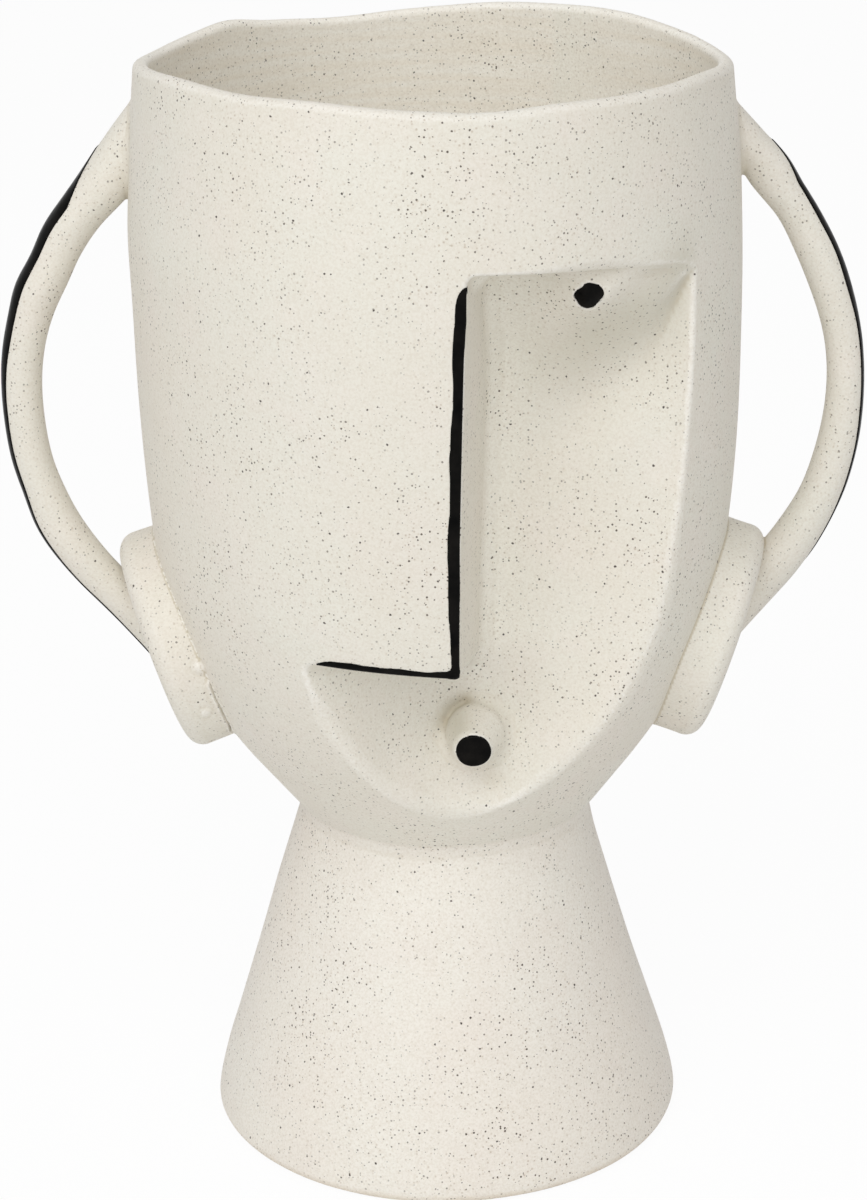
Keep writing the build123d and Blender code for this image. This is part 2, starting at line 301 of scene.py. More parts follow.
def carve(x, y, z, swell):
    """Field of the whole space carved out of the face; its factors make slanted planes grow evenly."""
    floor = carved_floor(x, y, z, swell)
    wall = (arris_x(y, z) - x) * 0.985
    brow = (z - 260.4 + CUT_FALL * (y + RIM_R)) * 0.989
    nose = (z - nose_base_z(x, y)) * 0.987
    within = head_radius(z)[0] - np.hypot(x, y)
    return cut(cut(floor, bend(wall, nose, 1.3), 4.0), brow, 2.4 + 4.6 * ease(1, 12, within))


def painted_nose_light(x, y, z):
    """Painted light: where the carved face is coloured paler to lighten the shade on the wall of the nose and
    the floor beside it.
    """
    beside = x - arris_x(y, z)
    within = head_radius(z)[0] - np.hypot(x, y)
    return ease(-0.5, 2, beside) * np.exp(-((beside / 13) ** 2)) * ease(0.5, 3, within) * ease(146, 160, z)


def edge_radius(x, z):
    """Rounding of the arris round the carved face: tight along the nose and brow, soft at the chin."""
    nose = 0.75
    right = 1.0 + 2.2 * ease(215, 150, z)
    chin = 3.4
    over_eye = 2.4 * np.exp(-(((x - 40) / 11) ** 2)) * ease(250, 256, z)
    to_right = (right - nose) * ease(14, 30, x)
    to_chin = (chin - nose) * ease(20, -4, x) * ease(153, 140, z)
    return nose + to_right + to_chin + over_eye


def head_form(x, y, z, swell=0.0):
    """Head with the carved face, without its hollow; under is the small pit below the mouth."""
    under = LOWER_PIT_DEPTH * np.exp(-(((x - 13.0) / 4.5) ** 2) - ((z - 117.5) / 4.0) ** 2)
    swell = swell + brow_fill(x, z) + chin_fill(x, z) - PIT_DEPTH * mouth_pit(x, z) - under
    return cut(head_skin(x, y, z), -carve(x, y, z, swell), edge_radius(x, z))


RIM_ANGLES, RIM_LIFTS = smooth_curve(RIM_HEIGHTS, closed_span=360)
LIP_OUTER, LIP_INNER = 1.8, 1.9  # rounding
rim_waves = waves(13, 30)


def head_shell(x, y, z):
    """Head with its wavy lip and its hollow, open at the waist."""
    form = head_form(x, y, z)
    angle = np.degrees(np.arctan2(x, -y))
    top = z - RIM_Z - np.interp(angle, RIM_ANGLES, RIM_LIFTS) * (x * x + y * y) / RIM_R**2
    shell = cut(form, top + 0.15 * rim_waves(x, y, z), LIP_OUTER)
    hollow = cut(form + WALL, WAIST[1] - 14 - z, 1.0)
    return np.maximum(cut(shell, -hollow, LIP_INNER), WAIST[1] - z)


# Pedestal

FLARE_Z, FLARE = smooth_curve(
    [(-4, 0.0), (0, 0.3), (6, 1.3), (13, 1.7), (28, 1.35), (43, 0.75), (60, 0.35), (94, 0.0)]
)
PEDESTAL_WALL = 5.2
SLAB_R, SLAB_TOP = 57.9, 6.0
FOOT_ROUND, WAIST_FILLET = 3.6, 2.2


def pedestal_skin(x, y, z):
    """Outer form of the pedestal."""
    r = np.hypot(x, y) - np.interp(z, FLARE_Z, FLARE)
    slope = (FOOT_R - WAIST[0]) / WAIST[1]
    side = (r - WAIST[0] - slope * (WAIST[1] - z)) / math.hypot(1, slope)
    side = side - 0.9 * np.exp(-(((z - 94) / 8) ** 2)) * np.maximum(x, 0) ** 2 / (x * x + y * y + 1)
    return side + 0.25 * head_waves(x + 300, y, z) + 0.07 * head_ripple(x, y + 200, z) + 0.3


def pedestal(x, y, z):
    """Pedestal, blended into the head at the waist, hollow, with room for the base slab."""
    side = pedestal_skin(x, y, z)
    head = np.maximum(head_skin(x, y, z), WAIST[1] - 1 - z)
    body = bend(cut(side, -z, FOOT_ROUND), head, WAIST_FILLET) + INSET
    body = np.maximum(body, z - WAIST[1] - 5)
    body = np.maximum(body, -(side + PEDESTAL_WALL))
    return np.maximum(body, -np.maximum(np.hypot(x, y) - SLAB_R, z - SLAB_TOP))


# Ears

EAR_R = 31.0
EAR_DEG = (18.0, 7.5)
EAR_CENTRE = {-1: (-78.7, -5.0, 140.7), 1: (79.9, -5.0, 141.5)}
EAR_ROUND = 4.8
CRACK_HALF = 0.36
PIN_HOLE = (-62.4, -19.5, 118.0, 1.0)  # place and radius
LUMPS = ((-63.7, -33.1, 145.4, 1.5), (-63.2, -30.1, 131.2, 0.8))
ear_waves = waves(21, 26)


def ear_way(side):
    """The way an ear's outer face looks; side is -1 on the left and 1 on the right."""
    lean, turn = map(math.radians, EAR_DEG)
    return side * math.cos(lean) * math.cos(turn), -math.cos(lean) * math.sin(turn), -math.sin(lean)


def ear_disc(x, y, z, side):
    """Round disc without an inner end."""
    cx, cy, cz = EAR_CENTRE[side]
    wx, wy, wz = ear_way(side)
    px, py, pz = x - cx, y - cy, z - cz
    out = px * wx + py * wy + pz * wz
    radial = np.sqrt(np.maximum(px * px + py * py + pz * pz - out * out, 0))
    uneven = 0.35 * ear_waves(x, y, z)
    return cut(radial - EAR_R + 0.4 + uneven, out + 0.35 - 0.3 * uneven, EAR_ROUND)


def ear(x, y, z, side):
    """Disc luted to the head; the left one has a torn seam with a crack, a pin hole and two lumps of slip."""
    disc = ear_disc(x, y, z, side)
    form = head_form(x, y, z)
    if side < 0:
        torn = ease(142, 139, z) * ease(118, 121, z) * ease(-19, -23, y)
        joined = bend(disc, form, 0.6 + 1.8 * torn) + EAR_INSET
        off = np.abs(disc - form - 0.2 * ear_waves(x * 4, y * 4, z * 4)) * 0.7
        joined = cut(joined, -(off - CRACK_HALF * torn + 0.02), 0.12)
        hx, hy, hz, hr = PIN_HOLE
        hole = np.sqrt(((x - hx) / 1.3) ** 2 + (y - hy) ** 2 + (z - hz) ** 2) - hr
        joined = cut(joined, -hole, 0.25)
        for bx, by, bz, br in LUMPS:
            ball = np.sqrt((x - bx) ** 2 + (y - by) ** 2 + (z - bz) ** 2) - br
            joined = bend(joined, ball, 1.6)
    else:
        joined = bend(disc, form, 0.45) + EAR_INSET
    return np.maximum(np.maximum(joined, disc - 3.0), -(form + ROOT))


# Handles

REACH = {-1: 116.5, 1: 113.9}
BOW_R, BOW_Z = 81.3, 210.6
BOW_TOP = {-1: math.radians(40.5), 1: math.radians(38)}
BOW_LOW = math.radians(40)
TUBE_R = {-1: 5.4, 1: 5.0}
GLAZE = 0.22  # how far black glaze stands out
ROOT_TOP = 290
UPPER_FROM = 210  # above it a handle meets the head, below it the ear
tube_waves = waves(31, 30)
TUBE_SHIFT = {  # by height: how far the hand-rolled tube strays outwards
    -1: smooth_curve(
        [
            (120, -0.5), (150, -0.5), (160, -0.1), (174, 0.5), (184, 0.2), (192, 0.3),
            (202, 0.1), (225, -0.1), (233, -0.5), (241, -0.9), (249, -1.3),
            (257, -1.1), (265, -1.5), (272, -1.3), (280, -0.8), (295, -0.5),
        ]
    ),
    1: smooth_curve(
        [
            (120, -0.1), (174, -0.1), (182, 0.15), (190, 0.1), (200, 0.15), (222, 0.15), (240, 0.0),
            (248, 0.3), (257, 0.9), (265, 1.1), (272, 1.9), (280, 0.9), (288, 0.0), (300, 0.0),
        ]
    ),
}
TUBE_SWELL = {  # by height: how much thicker it is
    -1: smooth_curve(
        [
            (120, 0.1), (158, 0.2), (174, 0.6), (182, 0.2), (220, 0.0), (233, 0.25),
            (241, 0.8), (249, 0.35), (257, 0.75), (265, 1.1), (272, 1.4), (295, 2.2),
        ]
    ),
    1: smooth_curve(
        [
            (120, 1.1), (166, 1.1), (174, 1.0), (182, 0.65), (190, 0.35), (200, 0.05),
            (248, 0.1), (257, -0.05), (265, 0.45), (272, 0.55), (295, 0.8),
        ]
    ),
}


def handle_line(x, y, z, side):
    """Distance from the handle's centre line within its plane, positive on its outer side."""
    u = side * x
    cx = REACH[side] - TUBE_R[side] - GLAZE - BOW_R
    pu, pz = u - cx, z - BOW_Z
    angle = np.arctan2(pz, pu)
    arc = np.hypot(pu, pz) - BOW_R
    steep = BOW_TOP[side]
    top = pu * math.cos(steep) + pz * math.sin(steep) - BOW_R
    low = pu * math.cos(BOW_LOW) - pz * math.sin(BOW_LOW) - BOW_R
    bow = np.where(angle > steep, top, np.where(angle < -BOW_LOW, low, arc))
    return bow - np.interp(z, *TUBE_SHIFT[side])


def handle_tube(x, y, z, side):
    """Bowed tube without ends."""
    out = handle_line(x, y, z, side)
    radius = TUBE_R[side] + np.interp(z, *TUBE_SWELL[side])
    return np.hypot(out, y) - radius + 0.16 * tube_waves(x, y, z)


def handle(x, y, z, side):
    """Tube that blends into the head at its top and into the ear at its foot."""
    tube = handle_tube(x, y, z, side)
    form = head_form(x, y, z)
    disc = ear_disc(x, y, z, side)
    root = bend(tube, form, 0.9 + 1.2 * ease(262, 272, z) * ease(284, 276, z)) + INSET
    foot = bend(tube, disc, 0.5) + INSET
    upper = z > UPPER_FROM
    joined = np.maximum(np.maximum(np.where(upper, root, foot), tube - 3.5), z - ROOT_TOP)
    return np.maximum(joined, np.where(upper, -(form + HANDLE_ROOT), -(disc + HANDLE_ROOT)))


STRIPE_HALF = {  # heights, and half the stripe's width as an angle round the tube
    -1: ([130, 145, 170, 230, 262, 278.5], [0.42, 0.5, 0.66, 0.9, 0.92, 0.0]),
    1: ([160, 167, 180, 215, 255, 266, 278.5], [0.0, 0.3, 0.55, 0.66, 0.72, 0.6, 0.0]),
}
stripe_waves = waves(41, 16)


def handle_stripe(x, y, z, side):
    """Layer of glaze on the outer side of a handle."""
    out = handle_line(x, y, z, side)
    tube = handle_tube(x, y, z, side)
    around = np.arctan2(np.abs(y), out)
    half = np.interp(z, *STRIPE_HALF[side])
    band = (around - half - 0.03 * stripe_waves(x, y, z)) * TUBE_R[side]
    layer = np.maximum(tube - GLAZE, -(tube + 0.5))
    layer = cut(layer, band, 0.25)
    return np.maximum(layer, -(ear_disc(x, y, z, side) + 0.1))


# Eye and mouth

dot_waves = waves(52, 5)
EYE_DEPTH = 2.6
MOUTH_BORE_R, MOUTH_DEPTH = 4.2, 2.4
LINING = 0.25  # how far a dot of glaze reaches into the wall of its bore
SPOUT_BACK, SPOUT_BACK_R = (8.9, -45.0, 130.0), 7.9
SPOUT_FRONT, SPOUT_FRONT_R = (8.1, -51.6, 129.3), 5.7
SPOUT_FILLET = 3.6
EYE_TURNS, EYE_REACH = smooth_curve(  # angle, and how far the ragged hole reaches there
    [
        (-160, 3.1), (-132, 3.2), (-94, 3.3), (-72, 3.0), (-43, 2.6), (-11, 2.9), (14, 3.7),
        (41, 4.0), (74, 3.8), (101, 3.75), (121, 3.2), (151, 3.25), (175, 3.45),
    ],
    closed_span=360,
)


def eye_bore(x, y, z):
    """Ragged hole that was poked into the eye."""
    across, up = x - EYE_X, z - EYE_Z
    reach = np.interp(np.degrees(np.arctan2(up, across)), EYE_TURNS, EYE_REACH)
    return (np.hypot(across, up) - reach + 0.1 * dot_waves(x, y, z)) * 0.95


def mouth_bore(x, y, z):
    """Slightly oval hole of the mouth."""
    across, up = (x - MOUTH[0]) * 0.972, (z - MOUTH[2]) * 1.028
    return np.hypot(across, up) - MOUTH_BORE_R + 0.1 * dot_waves(x, y, z)


def eye_form(x, y, z):
    return head_form(x, y, z, eye_swell(x, z))


def eye_cone(x, y, z):
    """Soft mound of the eye with its hole."""
    form = eye_form(x, y, z)
    open_form = cut(form + INSET, -np.maximum(eye_bore(x, y, z), -(form + EYE_DEPTH)), 0.35)
    return np.maximum(open_form, -(head_form(x, y, z) + ROOT))


def mouth_cone(x, y, z):
    """Spout of the mouth with its hole, blended into the carved floor."""
    form = head_form(x, y, z)
    body = round_cone(x, y, z, SPOUT_BACK, SPOUT_FRONT, SPOUT_BACK_R, SPOUT_FRONT_R)
    body = cut(body, MOUTH[1] - y, 1.1)
    joined = bend(body, form, SPOUT_FILLET) + INSET
    joined = cut(joined, -np.maximum(mouth_bore(x, y, z), y - MOUTH[1] - MOUTH_DEPTH), 0.3)
    keep = np.maximum(joined, body - 7)
    return np.maximum(keep, -(form + ROOT))


def eye_dot(x, y, z):
    """Glaze at the bottom of the eye's hole."""
    form = eye_form(x, y, z)
    return cut(eye_bore(x, y, z) - LINING, np.abs(form + 1.5) - 1.1, 0.4)


def mouth_dot(x, y, z):
    """Glaze at the bottom of the mouth's hole."""
    return cut(mouth_bore(x, y, z) - LINING, np.abs(y - MOUTH[1] - 1.45) - 1.1, 0.5)


# Black line along the nose

line_grain = waves(62, 6)
LINE_Z, LINE_LEFT = smooth_curve(  # height, and the upright stroke's left side beside the arris
    [
        (150, -1.9), (161, -2.0), (166.5, -2.15), (176, -2.75), (188, -3.0), (198, -3.15), (209, -2.7),
        (217, -3.1), (222.5, -2.9), (230, -2.55), (236, -2.7), (244, -2.8), (248, -2.65), (252, -2.6),
        (255, -2.25), (256.5, -1.7), (257.7, -0.9), (258.5, 0.3), (262, 1.0),
    ]
)
LEVEL_X, LEVEL_THICK = smooth_curve(  # x, and the level stroke's thickness over the nose's base
    [
        (-32, 0.3), (-30.5, 1.0), (-28, 1.75), (-24, 2.1), (-21, 2.0), (-16, 1.8), (-12, 2.05), (-9, 1.9),
        (-5.5, 1.75), (-3, 1.7), (-1, 1.95), (12, 2.0),
    ]
)


def nose_line(x, y, z):
    """Layer of glaze along the nose and along the edge of its base."""
    form = head_form(x, y, z)
    layer = np.maximum(form - GLAZE, -(form + 0.45))
    arris = arris_x(y, z)
    low = nose_base_z(x, y)
    left = arris + np.interp(z, LINE_Z, LINE_LEFT) + 0.1 * line_grain(x, y, z)
    right = x - arris + 0.02 + 0.17 * ease(180, 192, z) - 0.47 * ease(238, 255, z)
    upright = np.maximum(np.maximum(left - x, right), low - z)
    thick = np.interp(x, LEVEL_X, LEVEL_THICK) + 0.1 * line_grain(x, y, z)
    level = np.maximum(np.maximum(z - low - thick, low - z), np.maximum(-31.5 - x, right))
    shape = bend(upright, level, 1.5)
    shape = np.maximum(shape, -(head_skin(x, y, z) + 0.7))
    return cut(layer, shape, 0.2)


# Meshes from fields

CORNERS = [(0, 0, 0), (1, 0, 0), (0, 1, 0), (1, 1, 0), (0, 0, 1), (1, 0, 1), (0, 1, 1), (1, 1, 1)]
EDGES = [(0, 1), (2, 3), (4, 5), (6, 7), (0, 2), (1, 3), (4, 6), (5, 7), (0, 4), (1, 5), (2, 6), (3, 7)]
ROWS_AT_ONCE = 12
CLOSED = 0.02  # least value on the walls of a grid, so that every surface closes within it
SETTLE_ROUNDS = 2


def sample(field, low, counts, step):
    """Field on a grid, slice by slice."""
    xs, ys, zs = [low[i] + step * np.arange(counts[i], dtype=np.float64) for i in range(3)]
    values = np.empty(counts, np.float32)
    for k in range(0, counts[2], ROWS_AT_ONCE):
        part = zs[k:k + ROWS_AT_ONCE]
        values[:, :, k:k + ROWS_AT_ONCE] = field(xs[:, None, None], ys[None, :, None], part[None, None, :])
    for axis in range(3):
        for end in (0, -1):
            wall = [slice(None)] * 3
            wall[axis] = end
            values[tuple(wall)] = np.maximum(values[tuple(wall)], CLOSED)
    return values


def surface_net(field, low, high, step):
    """Points and quads of the surface where a field is zero."""
    low = np.array(low, float)
    counts = tuple(int(math.ceil((high[i] - low[i]) / step)) + 1 for i in range(3))
    values = sample(field, low, counts, step)
    inside = values < 0
    mixed = np.zeros(tuple(c - 1 for c in counts), np.int8)
    for dx, dy, dz in CORNERS:
        mixed += inside[dx:counts[0] - 1 + dx, dy:counts[1] - 1 + dy, dz:counts[2] - 1 + dz]
    cells = np.argwhere((mixed > 0) & (mixed < 8))
    index = np.full(mixed.shape, -1, np.int32)
    index[cells[:, 0], cells[:, 1], cells[:, 2]] = np.arange(len(cells))
    corner = np.stack([values[cells[:, 0] + a, cells[:, 1] + b, cells[:, 2] + c] for a, b, c in CORNERS], 1)
    spots = np.array(CORNERS, float)
    total = np.zeros((len(cells), 3))
    hits = np.zeros(len(cells))
    for a, b in EDGES:
        va, vb = corner[:, a], corner[:, b]
        crossing = (va < 0) != (vb < 0)
        t = np.where(crossing, va / np.where(crossing, va - vb, 1), 0)
        total += np.where(crossing[:, None], spots[a] + t[:, None] * (spots[b] - spots[a]), 0)
        hits += crossing
    points = low + step * (cells + total / hits[:, None])
    quads = []
    for axis in range(3):
        one, two = (axis + 1) % 3, (axis + 2) % 3
        ahead = [slice(None)] * 3
        ahead[axis] = slice(1, None)
        here = [slice(None)] * 3
        here[axis] = slice(0, -1)
        a, b = inside[tuple(here)], inside[tuple(ahead)]
        crossings = np.argwhere(a != b)
        faces = []
        for d1, d2 in ((0, 0), (1, 0), (1, 1), (0, 1)):
            c = crossings.copy()
            c[:, one] -= d1
            c[:, two] -= d2
            faces.append(index[c[:, 0], c[:, 1], c[:, 2]])
        faces = np.stack(faces, 1)
        turned = ~a[tuple(crossings.T)]
        faces[turned] = faces[turned][:, ::-1]
        quads.append(faces)
    return largest_part(points, np.concatenate(quads))


def largest_part(points, quads):
    """Points and quads of the largest connected part of a surface."""
    label = np.arange(len(points))
    one, two = quads.ravel(), np.roll(quads, -1, 1).ravel()
    while True:
        lower = np.minimum(label[one], label[two])
        new = label.copy()
        np.minimum.at(new, one, lower)
        np.minimum.at(new, two, lower)
        new = new[new]
        if (new == label).all():
            break
        label = new
    names, sizes = np.unique(label[quads[:, 0]], return_counts=True)
    keep = label == names[sizes.argmax()]
    order = np.cumsum(keep) - 1
    return points[keep], order[quads[keep[quads[:, 0]]]]


def slopes_at(field, points, h):
    """Value, gradient and curvature of a field at points."""
    x, y, z = points.T
    value = field(x, y, z)
    gradient = np.empty_like(points)
    bulge = -6 * value
    for i in range(3):
        shift = [0, 0, 0]
        shift[i] = h
        up = field(x + shift[0], y + shift[1], z + shift[2])
        down = field(x - shift[0], y - shift[1], z - shift[2])
        gradient[:, i] = (up - down) / (2 * h)
        bulge = bulge + up + down
    return value, gradient, bulge / (h * h)


def grow(name, field, low, high, step, node, material, marks=None):
    """Piece in place of a node: the surface of a field, settled onto it, with marks as values of its points."""
    points, quads = surface_net(field, low, high, step)
    for _ in range(SETTLE_ROUNDS):
        value, gradient, _ = slopes_at(field, points, step * 0.2)
        move = -value / np.maximum((gradient**2).sum(1), 0.05)
        points = points + gradient * np.clip(move, -0.5 * step, 0.5 * step)[:, None]
    _, gradient, bulge = slopes_at(field, points, step * 0.45)
    normals = gradient / np.maximum(np.linalg.norm(gradient, axis=1), 1e-6)[:, None]
    mesh = bpy.data.meshes.new(name)
    mesh.from_pydata((points * MM).tolist(), [], quads.tolist())
    mesh.validate()
    mesh.shade_smooth()
    if len(mesh.vertices) == len(normals):
        mesh.normals_split_custom_set_from_vertices(normals.tolist())
        values = {"edge": np.clip(bulge, -2, 2)}
        values.update((mark, value(*points.T)) for mark, value in (marks or {}).items())
        for mark, value in values.items():
            layer = mesh.attributes.new(mark, "FLOAT", "POINT")
            layer.data.foreach_set("value", value.astype(np.float32))
    piece = bpy.data.objects.new(name, mesh)
    bpy.context.scene.collection.objects.link(piece)
    mesh.materials.append(material)
    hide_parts(node)
    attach(piece, "root")


# Materials

class Nodes:
    """Short way to build a node tree."""

    def __init__(self, name):
        self.material = bpy.data.materials.new(name)
        self.material.use_nodes = True
        self.tree = self.material.node_tree
        self.shader = self.tree.nodes["Principled BSDF"]
        self.place = self.add("ShaderNodeTexCoord").outputs["Object"]

    def add(self, kind, **settings):
        node = self.tree.nodes.new(kind)
        for key, value in settings.items():
            setattr(node, key, value)
        return node

    def feed(self, socket, value):
        if isinstance(value, bpy.types.NodeSocket):
            self.tree.links.new(value, socket)
        else:
            socket.default_value = value

    def math(self, operation, a, b=0.0, clamp=False):
        node = self.add("ShaderNodeMath", operation=operation, use_clamp=clamp)
        self.feed(node.inputs[0], a)
        self.feed(node.inputs[1], b)
        return node.outputs[0]

    def noise(self, scale, detail=3.0, rough=0.5, place=None):
        node = self.add("ShaderNodeTexNoise")
        self.feed(node.inputs["Vector"], place or self.place)
        node.inputs["Scale"].default_value = scale
        node.inputs["Detail"].default_value = detail
        node.inputs["Roughness"].default_value = rough
        return node.outputs["Fac"]

    def span(self, value, low, high, to_low=0.0, to_high=1.0):
        node = self.add("ShaderNodeMapRange")
        self.feed(node.inputs["Value"], value)
        for key, number in (("From Min", low), ("From Max", high), ("To Min", to_low), ("To Max", to_high)):
            self.feed(node.inputs[key], number)
        return node.outputs["Result"]

    def mix(self, factor, a, b):
        node = self.add("ShaderNodeMix", data_type="RGBA")
        self.feed(node.inputs["Factor"], factor)
        self.feed(node.inputs["A"], a)
        self.feed(node.inputs["B"], b)
        return node.outputs["Result"]

    def mark(self, name):
        """Value that grow left on the points of a piece; 0 where there is none."""
        return self.add("ShaderNodeAttribute", attribute_name=name).outputs["Fac"]

    def stretch(self, x, y, z):
        node = self.add("ShaderNodeMapping")
        self.feed(node.inputs["Vector"], self.place)
        node.inputs["Scale"].default_value = (x, y, z)
        return node.outputs["Vector"]

    def specks(self, scale, radius, share, soft=0.35):
        """Mask of small irregular dots: one in each cell, with a random size, and only a share of them."""
        cells = self.add("ShaderNodeTexVoronoi")
        warp = self.add("ShaderNodeTexNoise")
        self.feed(warp.inputs["Vector"], self.place)
        warp.inputs["Scale"].default_value = scale * 3
        bent = self.add("ShaderNodeVectorMath", operation="MULTIPLY_ADD")
        self.feed(bent.inputs[0], warp.outputs["Color"])
        self.feed(bent.inputs[1], (0.25 / scale,) * 3)
        self.feed(bent.inputs[2], self.place)
        self.feed(cells.inputs["Vector"], bent.outputs["Vector"])
        cells.inputs["Scale"].default_value = scale
        parts = self.add("ShaderNodeSeparateColor")
        self.feed(parts.inputs["Color"], cells.outputs["Color"])
        size = self.math("MULTIPLY", parts.outputs["Red"], radius * scale)
        inner = self.math("MULTIPLY", size, 1 - soft)
        dot = self.span(cells.outputs["Distance"], size, inner)
        chosen = self.math("LESS_THAN", parts.outputs["Green"], share)
        return self.math("MULTIPLY", dot, chosen)

    def bump(self, height, strength, distance, below=None):
        node = self.add("ShaderNodeBump")
        node.inputs["Strength"].default_value = strength
        node.inputs["Distance"].default_value = distance
        self.feed(node.inputs["Height"], height)
        if below is not None:
            self.feed(node.inputs["Normal"], below)
        return node.outputs["Normal"]


CREAM = ((0.79, 0.77, 0.69, 1), (0.785, 0.745, 0.66, 1))
HANDLE_CREAM = ((0.77, 0.75, 0.672, 1), (0.765, 0.725, 0.643, 1))
# pedestal tones: partly a whiter clay, partly painted light for the bounce from the floor onto its upturned
# side
LIT_PEDESTAL_CREAM = ((0.85, 0.82, 0.75, 1), (0.845, 0.795, 0.72, 1))
BARE = ((0.62, 0.50, 0.36, 1), (0.56, 0.44, 0.31, 1))
BLUSH = (0.82, 0.755, 0.69, 1)
TOASTED = (0.66, 0.53, 0.37, 1)
# inside tones: partly a paler brushed inner glaze, partly painted light for the light that falls into the cup
INSIDE_TONES_AND_LIGHT = ((0.96, 0.935, 0.86, 1), (0.92, 0.87, 0.77, 1))
# painted light colour that lightens the shaded wall of the nose and the floor beside it
PAINTED_LIGHT = (0.925, 0.905, 0.82, 1)
# painted shade colour for the slope under the brow and the pocket beside the mouth
PAINTED_SHADE = (0.62, 0.595, 0.50, 1)
# edges paler: partly glaze worn thin, partly a painted highlight
WORN_AND_HIGHLIT_EDGE = (0.90, 0.875, 0.82, 1)
# creases darker: partly dirt, partly painted shade
DIRT_AND_CREASE_SHADE = (0.56, 0.50, 0.38, 1)
GRIT = (0.60, 0.53, 0.42, 1)
SPECK_FAINT = (0.36, 0.26, 0.17, 1)
SPECK_SMALL = (0.07, 0.05, 0.035, 1)
SPECK_DARK = (0.05, 0.037, 0.03, 1)
BLACKS = ((0.002, 0.002, 0.002, 1), (0.009, 0.008, 0.007, 1))


def clay(name, tones=CREAM, speck=1.0, grain=0.25, foot=False):
    """Matt stoneware with iron specks, softly uneven in colour; foot adds a toasted lower edge; marks add
    painted shade and painted light.
    """
    n = Nodes(name)
    colour = n.mix(n.span(n.noise(18, 4, 0.55), 0.35, 0.65), *tones)
    colour = n.mix(n.span(n.noise(60, 3, 0.6), 0.45, 0.72, 0, 0.4), colour, BLUSH)
    if foot:
        spot = n.add("ShaderNodeSeparateXYZ")
        n.feed(spot.inputs["Vector"], n.place)
        low = n.math("ADD", spot.outputs["Z"], n.math("MULTIPLY", n.noise(90, 3, 0.6), 0.004))
        colour = n.mix(n.span(low, 0.0055, 0.003, 0, 0.5), colour, TOASTED)
    brush = n.span(n.noise(1, 4, 0.6, n.stretch(14, 14, 330)), 0.35, 0.65)
    # inside of the head and pedestal: paler brushed tone, partly painted light
    colour = n.mix(n.mark("inner"), colour, n.mix(brush, *INSIDE_TONES_AND_LIGHT))
    # painted light: paler on the shaded wall of the nose and the floor beside it
    colour = n.mix(n.math("MULTIPLY", n.mark("pale"), 0.8), colour, PAINTED_LIGHT)
    # painted shade: darker where the slope under the brow and the pocket beside the mouth lie in shade
    colour = n.mix(n.math("MULTIPLY", n.mark("painted_shade"), 0.8, clamp=True), colour, PAINTED_SHADE)
    edge = n.mark("edge")
    # convex edges and the lip paler: partly worn thin glaze, partly a painted highlight along them
    colour = n.mix(n.span(edge, 0.12, 0.8, 0, 0.6), colour, WORN_AND_HIGHLIT_EDGE)
    # concave creases and hollows darker: partly dirt, partly painted shade where light does not reach
    colour = n.mix(n.span(edge, -0.08, -1.2, 0, 0.85), colour, DIRT_AND_CREASE_SHADE)
    colour = n.mix(n.span(n.noise(1500, 2, 0.6), 0.40, 0.68, 0, 0.30 * speck), colour, GRIT)
    crowd = n.span(n.noise(45, 2, 0.5), 0.35, 0.65, 0.25, 1.0)
    faint = n.math("MULTIPLY", n.specks(1000, 0.00042, 0.9, 0.7), n.math("MULTIPLY", crowd, 0.5 * speck))
    colour = n.mix(faint, colour, SPECK_FAINT)
    small = n.math("MULTIPLY", n.specks(950, 0.00034, 0.85, 0.3), n.math("MULTIPLY", crowd, 0.95 * speck))
    colour = n.mix(small, colour, SPECK_SMALL)
    dark = n.math("MULTIPLY", n.specks(420, 0.00038, 0.55, 0.3), 0.95 * speck)
    colour = n.mix(dark, colour, SPECK_DARK)
    n.feed(n.shader.inputs["Base Color"], colour)
    n.feed(n.shader.inputs["Roughness"], n.span(n.noise(140, 3, 0.6), 0.3, 0.7, 0.50, 0.66))
    n.shader.inputs["Specular IOR Level"].default_value = 0.35
    fine = n.bump(n.noise(900, 4, 0.6), grain, 0.0004)
    n.feed(n.shader.inputs["Normal"], n.bump(n.noise(90, 3, 0.5), 0.25, 0.0012, fine))
    return n.material


def glaze(name):
    """Glossy black glaze, brushed on unevenly."""
    n = Nodes(name)
    n.feed(n.shader.inputs["Base Color"], n.mix(n.span(n.noise(160, 3, 0.6), 0.35, 0.7), *BLACKS))
    n.feed(n.shader.inputs["Roughness"], n.span(n.noise(240, 3, 0.6), 0.3, 0.7, 0.12, 0.30))
    n.shader.inputs["Specular IOR Level"].default_value = 0.04
    n.feed(n.shader.inputs["Normal"], n.bump(n.noise(320, 3, 0.5), 0.3, 0.0006))
    return n.material


head_clay = clay("head_clay")
ear_clay = clay("ear_clay")
handle_clay = clay("handle_clay", HANDLE_CREAM)
pedestal_clay = clay("pedestal_clay", LIT_PEDESTAL_CREAM, speck=1.1, foot=True)
bare_clay = clay("bare_clay", BARE, grain=0.5)
black = glaze("black_glaze")


# Pieces: corners of each grid, its step, the node that the piece replaces, and its slot

def head_inner(x, y, z):
    """Where the head's surface is its inside, from 0 to 1."""
    return ease(-1.6, -3.2, head_form(x, y, z))


def pedestal_inner(x, y, z):
    """The same for the pedestal."""
    return ease(-2.0, -4.0, pedestal_skin(x, y, z))


